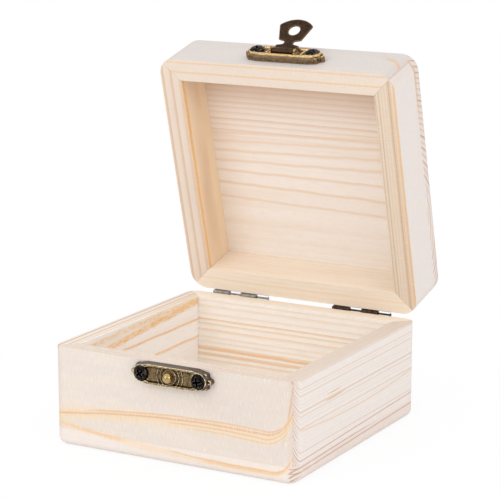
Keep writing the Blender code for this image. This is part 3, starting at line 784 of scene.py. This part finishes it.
def triangles(loops, extra=()):
    """Flat points and triangles that fill the first loop and leave out the others."""
    edges, points = [], []
    for loop in loops:
        start = len(points)
        points += [Vector(point) for point in loop]
        edges += [(start + i, start + (i + 1) % len(loop)) for i in range(len(loop))]
    points += [Vector(point) for point in extra]
    flat, _, faces, *_ = delaunay_2d_cdt(points, edges, [], 1, 1e-6)
    flat = np.array([tuple(point) for point in flat])
    faces = np.array(faces)
    middles = flat[faces].mean(1)
    keep = np.ones(len(faces), dtype=bool)
    for hole in loops[1:]:
        keep &= depth_inside(middles, hole) < 0
    return flat, faces[keep]


def relief(outline, holes, spacing, top, bottom=None, wall_steps=10):
    """A closed shape over an outline with holes.

    top and bottom are functions that give points their heights; without bottom it is flat at zero.
    """
    def spot(vertex):
        return round(vertex.co.x, 4), round(vertex.co.y, 4)

    loops = [resampled(loop, spacing) for loop in [outline, *holes]]
    low, high = np.min(outline, 0), np.max(outline, 0)
    columns, rows = (np.arange(low[i] + spacing / 2, high[i], spacing) for i in (0, 1))
    grid = np.stack(np.meshgrid(columns, rows), -1).reshape(-1, 2)
    room = depth_inside(grid, loops[0])
    for hole in loops[1:]:
        room = np.minimum(room, -depth_inside(grid, hole))
    work = bmesh.new()
    flat, faces = triangles(loops, grid[room > spacing * 0.45])
    upper = [work.verts.new((x, y, z)) for (x, y), z in zip(flat, top(flat))]
    for face in faces:
        work.faces.new([upper[i] for i in face])
    rims = [edge for edge in work.edges if edge.is_boundary]
    if bottom is None:
        flat, faces = triangles(loops)
    heights = bottom(flat) if bottom else np.zeros(len(flat))
    lower = [work.verts.new((x, y, z)) for (x, y), z in zip(flat, heights)]
    for face in faces:
        work.faces.new([lower[i] for i in reversed(face)])
    below = {spot(vertex): vertex for vertex in lower}
    walls = {}
    for vertex in {vertex for edge in rims for vertex in edge.verts}:
        end = below[spot(vertex)]
        between = [work.verts.new(vertex.co.lerp(end.co, i / wall_steps)) for i in range(1, wall_steps)]
        walls[vertex] = [vertex, *between, end]
    for edge in rims:
        first, second = (walls[vertex] for vertex in edge.verts)
        for i in range(wall_steps):
            work.faces.new((first[i], second[i], second[i + 1], first[i + 1]))
    return work


def turned(profile, sides):
    """A shape turned about the outward axis from (radius, out) pairs; ends on the axis close to a point."""
    work = bmesh.new()
    rings = []
    for radius, out in profile:
        count = 1 if radius == 0 else sides
        turns = (2 * math.pi * i / sides for i in range(count))
        rings.append([work.verts.new((radius * math.cos(a), radius * math.sin(a), out)) for a in turns])
    for first, second in zip(rings, rings[1:]):
        for i in range(sides):
            j = (i + 1) % sides
            corners = [ring[k % len(ring)] for ring, k in ((first, i), (first, j), (second, j), (second, i))]
            work.faces.new(list(dict.fromkeys(corners)))
    return work


def joined(*shapes):
    """Several shapes as one mesh."""
    whole = bmesh.new()
    for shape in shapes:
        part_mesh = to_mesh(shape, "part")
        whole.from_mesh(part_mesh)
        bpy.data.meshes.remove(part_mesh)
    return whole


def values_of(items, key, width, kind=float):
    values = np.empty(len(items) * width, dtype=kind)
    items.foreach_get(key, values)
    return values.reshape(-1, width)


def mark_wear_and_highlight(mesh):
    """Keeps, as the attribute wear, how much each point stands out (to 1) or lies back (to -1)."""
    count = len(mesh.vertices)
    points = values_of(mesh.vertices, "co", 3)
    normals = values_of(mesh.vertex_normals, "vector", 3)
    first, second = values_of(mesh.edges, "vertices", 2, int).T
    step = points[second] - points[first]
    step /= np.maximum(np.linalg.norm(step, axis=1), 1e-9)[:, None]
    total = np.bincount(first, -(normals[first] * step).sum(1), count)
    total += np.bincount(second, (normals[second] * step).sum(1), count)
    links = np.maximum(np.bincount(first, minlength=count) + np.bincount(second, minlength=count), 1)
    wear_and_highlight = total / links
    for _ in range(2):
        around = np.bincount(first, wear_and_highlight[second], count) + np.bincount(second, wear_and_highlight[first], count)
        wear_and_highlight = 0.5 * wear_and_highlight + 0.5 * around / links
    mesh.attributes.new("wear_and_highlight", "FLOAT", "POINT").data.foreach_set("value", np.clip(wear_and_highlight * 4, -1, 1))


def add_metal(node, work, center, material, angle=math.radians(50)):
    """Stands a shape made in its own plane on the closed box's front, as that node's detailed piece."""
    out = Matrix(((1, 0, 0), (0, 0, -1), (0, 1, 0))).to_4x4()
    mesh = to_mesh(work, node)
    mesh.transform(Matrix.Translation(center) @ out @ Matrix.Scale(MM, 4))
    mark_wear_and_highlight(mesh)
    add_piece(f"{node}_metal", mesh, material, node, angle)


def plate_level(points):
    """The stamped plate's height, with its knobbed base and raised body, and where its sunk field is."""
    edge = depth_inside(points, plate_edge())
    raised = soft_step(depth_inside(points, four_quarters(raised_outline)), *raised_slope)
    field = soft_step(depth_inside(points, four_quarters(field_outline)), *field_slope)
    lip = lip_rise * ridge(edge, lip_inset, lip_half) * (1 - raised)
    height = plate_base - round_edge(edge, plate_edge_round) - base_dip + lip
    height += (plate_top - plate_base + base_dip) * raised
    return height - field_depth * field, field


def screw_pockets(points, height):
    """The height with a flat pocket sunk round each screw."""
    for side in (-1, 1):
        reach = np.hypot(points[:, 0] - side * screw_reach, points[:, 1])
        sunk = 1 - soft_step(reach, *(pocket_radius + offset for offset in pocket_slope))
        height = np.where(height > pocket_level, height + (pocket_level - height) * sunk, height)
    return height


def screw_holes():
    return [circle((side * screw_reach, 0.0), screw_hole_radius, 24) for side in (-1, 1)]


def catch_level(points):
    """The catch plate's height, with ridges round the stud."""
    height, field = plate_level(points)
    reach = np.hypot(points[:, 0], points[:, 1])
    for radius, half_width, rise in ring_ridges:
        height += rise * ridge(reach, radius, half_width) * field
    height += seat_rise * (1 - soft_step(reach, *seat_slope)) * field
    return screw_pockets(points, height)


def hasp_level(points):
    """The hasp plate's height, with the two lugs beside its window that hold the pin."""
    height, field = plate_level(points)
    across, up = np.abs(points[:, 0]), points[:, 1] - pin_up
    height = screw_pockets(points, height)
    lug = pin_out + np.sqrt(np.clip(lug_radius ** 2 - up ** 2, 0, None))
    foot = (across > lug_inner - lug_slack) & (across < lug_outer + lug_slack)
    foot &= np.abs(up) < lug_radius + lug_slack
    middle, half_width, rise = lug_ridge
    return np.where(foot, np.maximum(height, lug), height + rise * ridge(across, middle, half_width) * field)


def pan_head_level(points):
    """A low dome with a tapering cross recess."""
    reach = np.hypot(points[:, 0], points[:, 1])
    share = np.clip(reach / head_radius, 0, 1)
    dome = head_side + (head_out - head_side) * np.sqrt(np.clip(1 - share ** dome_power, 0, None))
    across, up = np.abs(points[:, 0]), np.abs(points[:, 1])
    recess = np.zeros(len(points))
    for along, aside in ((across, up), (up, across)):
        half = cross_half * (1.25 - 0.35 * along / cross_reach)
        wall = np.minimum(half - aside, (cross_reach - along) * 0.6)
        recess = np.maximum(recess, soft_step(wall, *cross_slope))
    burr = burr_rise * ridge(reach, burr_radius, burr_half)
    return dome + burr - (cross_depth + pit_depth * (1 - soft_step(reach, 0.0, pit_radius))) * recess


def threaded_shank():
    profile = [(0.0, shank_top), (shank_radius, shank_top), (shank_radius, thread_start)]
    root = shank_radius - thread_depth
    out = thread_start
    while out > thread_end:
        crest = out - thread_pitch / 2
        profile += [(root, out - 0.12), (shank_radius, crest), (root, out - thread_pitch * 0.85)]
        out -= thread_pitch
    return turned(profile + [(0.0, -shank_length)], 24)


def add_clasp_screws(material):
    head = relief(circle((0.0, 0.0), head_radius, 72), [], 0.12, pan_head_level, wall_steps=2)
    screw = joined(head, threaded_shank())
    for plate, turns in (("catch", (38, 12)), ("hasp", (25, -15))):
        for side, turn in zip(("left", "right"), turns):
            node = f"{plate}_screw_{side}"
            low, high = closed_box(node)
            center = ((low.x + high.x) / 2, low.y + head_out * MM, (low.z + high.z) / 2)
            work = screw.copy()
            work.transform(Matrix.Rotation(math.radians(turn), 4, "Z"))
            add_metal(node, work, center, material, math.radians(40))
    screw.free()


def plate_center(node):
    low, high = closed_box(node)
    return Vector(((low.x + high.x) / 2, high.y, (low.z + high.z) / 2))


def add_catch(plate_metal, stud_metal):
    center = plate_center("catch_plate")
    bore = circle((0.0, 0.0), stud_post + 0.1, 32)
    work = relief(plate_edge(), [bore, *screw_holes()], relief_spacing, catch_level)
    add_metal("catch_plate", work, center, plate_metal)
    neck = math.asin(stud_neck / stud_ball)
    turns = [(math.pi - neck) * i / 22 for i in range(23)]
    ball = [(stud_ball * math.sin(a), stud_ball_out + stud_ball * math.cos(a)) for a in turns]
    foot = [(stud_neck, neck_top), (stud_post, post_top), (stud_post, 0.0), (0.0, 0.0)]
    add_metal("catch_stud", turned(ball + foot, 48), center, stud_metal)


def add_hasp(material):
    low_side = [(-lug_inner, window_low), (lug_inner, window_low)]
    high_side = [(lug_inner, window_high), (-lug_inner, window_high)]
    holes = [low_side + high_side, *screw_holes()]
    work = relief(plate_edge(), holes, relief_spacing, hasp_level)
    add_metal("hasp_plate", work, plate_center("hasp_plate"), material)


def flap_edge():
    """The flap hanging down from its axis: tongue, crossbar, neck and fan."""
    radius = (fan_half ** 2 + fan_rise ** 2) / (2 * fan_rise)
    end = -quarter + math.asin(fan_half / radius) * fan_sweep
    fan = arc((0.0, radius + fan_end), radius, -quarter, end, 16) + [(fan_half, fan_corner), *fan_top]
    notch = arc(notch_center, notch_radius, -quarter, -3 * quarter, 14)
    return mirrored(fan + notch + [*bar_edge, (tongue_half, tongue_low), (tongue_half, tongue_high)])


def flap_roll():
    """The tongue's sheet rolled round the pin, left open by a narrow slit."""
    start, end = quarter, quarter - roll_turn
    outer = arc((0.0, 0.0), knuckle_radius, start, end, 40)
    inner = arc((0.0, 0.0), knuckle_radius - sheet, end, start, 32)
    near_end = tongue_half - roll_edge
    steps = ((-tongue_half, roll_edge), (-near_end, 0.0), (near_end, 0.0), (tongue_half, roll_edge))
    rings = []
    for across, inset in steps:
        ring = []
        for along, out in outer + inner:
            length = math.hypot(along, out)
            scale = 1 + inset * (1 if length < knuckle_radius - sheet / 2 else -1) / length
            ring.append((across, along * scale, out * scale))
        rings.append(ring)
    return loft(rings)


def add_flap(material):
    edge = flap_edge()
    hole = circle(flap_hole, flap_hole_radius, 48)

    def inside(points):
        return np.clip(np.minimum(depth_inside(points, edge), -depth_inside(points, hole)), 0, None)

    def face(points):
        return knuckle_radius - round_edge(inside(points), flap_face_round)

    def back(points):
        return knuckle_radius - sheet + round_edge(inside(points), flap_back_round)

    sheet_shape = relief(edge, [hole], flap_spacing, face, back, wall_steps=3)
    add_metal("hasp_flap", joined(sheet_shape, flap_roll()), flap_axis, material, math.radians(40))


def metal(name, dark, middle, bright, roughness=0.36, specks=0.5, sides=None, painted_shade_axis=None,
          painted_highlight_above=None, mottle=2.2):
    """Patinated metal: dark in its hollows and specks, and bright where it stands out,
    partly from rubbed edges and partly as painted highlight.

    sides is the colour of faces that look away from the front and back, partly their own tone and partly
    painted reflection of the bright light above; sheltered a line along X round which it is darkened as
    painted shade; and painted_highlight_above, which needs sides, how far out such faces take a painted highlight
    line.
    """
    graph = Surface(name)
    wear_and_highlight = graph.node("ShaderNodeAttribute", attribute_name="wear_and_highlight")["Fac"]
    grain = graph.noise(graph.place, 2.4, 4.0, 0.7)
    patch = graph.noise(graph.place, 0.7)
    level = graph.add(graph.times(wear_and_highlight, 1.1), graph.times(graph.add(grain, -0.5), mottle))
    level = graph.add(level, graph.times(graph.add(patch, -0.5), 0.7))
    # Painted shade: the metal round this line is darkened, as on the flap's roll round its pin
    if painted_shade_axis:
        axes = graph.split(graph.place)
        reach = graph.length(*(graph.less(axes[i], painted_shade_axis[i] / MM) for i in (1, 2)))
        level = graph.add(level, graph.ease(reach, knuckle_radius + 0.1, knuckle_radius + 0.3, -0.75, 0.0))
    # Bright where it stands out: partly rubbed edges, partly painted highlight
    shine = graph.ease(level, 0.28, 0.72)
    # Faces turned away take the sides colour, partly painted reflection, and lose the bright edges
    if sides:
        facing = graph.math("ABSOLUTE", graph.split(graph.normal)["Y"])
        middle = graph.blend(graph.ease(facing, 0.4, 0.9), sides, middle)
        shine = graph.times(shine, graph.ease(facing, 0.45, 0.8))
    # Painted highlight: a bright line along sloping faces past a height, below the lugs
    if painted_highlight_above:
        out = graph.less(clasp_back, graph.split(graph.place)["Y"])
        sloping = graph.ease(facing, 0.8, 0.98, 1.0, 0.0)
        below_lugs = graph.ease(out, plate_top, plate_top + 0.2, 1.0, 0.0)
        painted_highlight = graph.times(graph.ease(out, painted_highlight_above, painted_highlight_above + 0.3), graph.times(sloping, below_lugs))
        shine = graph.math("MAXIMUM", shine, painted_highlight)
    color = graph.blend(graph.ease(level, -0.45, 0.10), dark, middle)
    color = graph.blend(shine, color, bright)
    speck = graph.ease(graph.noise(graph.place, 3.4), 0.52, 0.62, 0.0, specks)
    color = graph.blend(speck, color, dark)
    graph.set("Base Color", color)
    graph.set("Metallic", 1.0)
    graph.set("Roughness", graph.ease(level, -0.4, 0.6, roughness + 0.14, roughness - 0.08))
    graph.bump(graph.add(grain, graph.times(speck, -0.5)), 0.6)
    return graph.material


def dress_packed(name_start, material):
    """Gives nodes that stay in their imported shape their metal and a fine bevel."""
    for node, item in frame["nodes"].items():
        if node.startswith(name_start):
            item.data.materials.clear()
            item.data.materials.append(material)
            edges = item.modifiers.new("edges", "BEVEL")
            edges.width = packed_bevel
            edges.segments = 2
            edges.limit_method = "ANGLE"
            edges.angle_limit = math.radians(50)


def add_hardware():
    # The catch plate's grey sides colour is partly painted reflection of the bright light above
    bronze = metal("antique_bronze", (48, 38, 30), (142, 120, 86), (252, 228, 180), sides=(118, 106, 98))
    brass = metal("stud_brass", (96, 76, 44), (186, 160, 108), (240, 220, 168), 0.16, 0.1, mottle=0.7)
    add_catch(bronze, brass)
    add_clasp_screws(metal("black_steel", (7, 6, 7), (24, 22, 23), (118, 108, 102), 0.26, 0.4, mottle=1.5))
    # The hasp's sides colour is partly painted reflection, and a painted highlight line runs along its top edge
    add_hasp(metal("hasp_bronze", (44, 33, 24), (124, 94, 60), (250, 212, 150), specks=0.75,
                   sides=(150, 126, 98), painted_highlight_above=plate_base + 0.1))
    # The flap's roll round the pin is darkened as painted shade
    add_flap(metal("flap_bronze", (30, 22, 16), (76, 56, 40), (134, 104, 72), specks=0.45,
                   painted_shade_axis=flap_axis))
    dress_packed("hinge_left", metal("grey_bronze", (104, 100, 94), (164, 160, 154), (206, 202, 196)))
    dress_packed("hinge_right", metal("dark_bronze", (20, 16, 14), (88, 70, 58), (140, 118, 100), specks=0.8))
    dress_packed("hasp_pin", metal("pin_steel", (60, 55, 46), (120, 112, 98), (180, 172, 156), 0.3))


def add_camera():
    data = bpy.data.cameras.new("camera")
    camera = placed("camera", data)
    data.sensor_width = camera_sensor
    data.lens = camera_lens
    data.clip_end = camera_reach
    camera.location = camera_place
    camera.rotation_euler = (camera_pitch, 0.0, camera_turn)
    bpy.context.scene.camera = camera


def add_floor():
    """A white floor that keeps the box's soft shadow near it and fades to plain white further out."""
    work = bmesh.new()
    bmesh.ops.create_grid(work, x_segments=8, y_segments=8, size=floor_half)
    mesh = to_mesh(work, "floor")
    floor = placed("floor", mesh)
    floor.location.z = -floor_drop
    graph = Surface("floor_white")
    graph.set("Base Color", floor_color)
    graph.set("Roughness", 0.9)
    x, y, _ = graph.split(graph.place)
    white = graph.ease(graph.length(x, y), fade_start, fade_end, white_near_box, 1.0)
    path = graph.node("ShaderNodeLightPath")
    seen = graph.math("MAXIMUM", path["Is Glossy Ray"], path["Is Transmission Ray"])
    seen = graph.math("MAXIMUM", path["Is Camera Ray"], seen)
    glow = graph.node("ShaderNodeEmission")[0]
    graph.show(graph.times(white, seen), graph.shader.outputs[0], glow)
    mesh.materials.append(graph.material)


def add_lamp(name, place, size, power):
    data = bpy.data.lights.new(name, "AREA")
    data.shape = "DISK"
    data.size = size
    data.energy = power
    lamp = placed(name, data)
    lamp.location = place
    lamp.rotation_euler = (Vector(lamp_target) - Vector(place)).to_track_quat("-Z", "Y").to_euler()


def light_scene():
    """The lamps, and a world that lights the box like a sky and is itself seen as plain pale grey."""
    scene = bpy.context.scene
    scene.view_settings.view_transform = "Standard"
    scene.world = bpy.data.worlds.new("white_room")
    graph = Graph(scene.world)
    sky = graph.tree.nodes["Background"]
    sky.inputs["Color"].default_value = sky_color
    height = graph.split(graph.coordinates["Generated"])["Z"]
    graph.feed(sky.inputs["Strength"], graph.ease(height, sky_low, sky_high, sky_dim, sky_bright))
    path = graph.node("ShaderNodeLightPath")
    seen = graph.math("MAXIMUM", path["Is Camera Ray"], path["Is Transmission Ray"])
    graph.show(seen, sky.outputs[0], graph.node("ShaderNodeBackground")[0])
    for name, values in lamps.items():
        add_lamp(name, *values)


add_camera()
add_floor()
light_scene()
add_tray()
add_lid()
add_hardware()
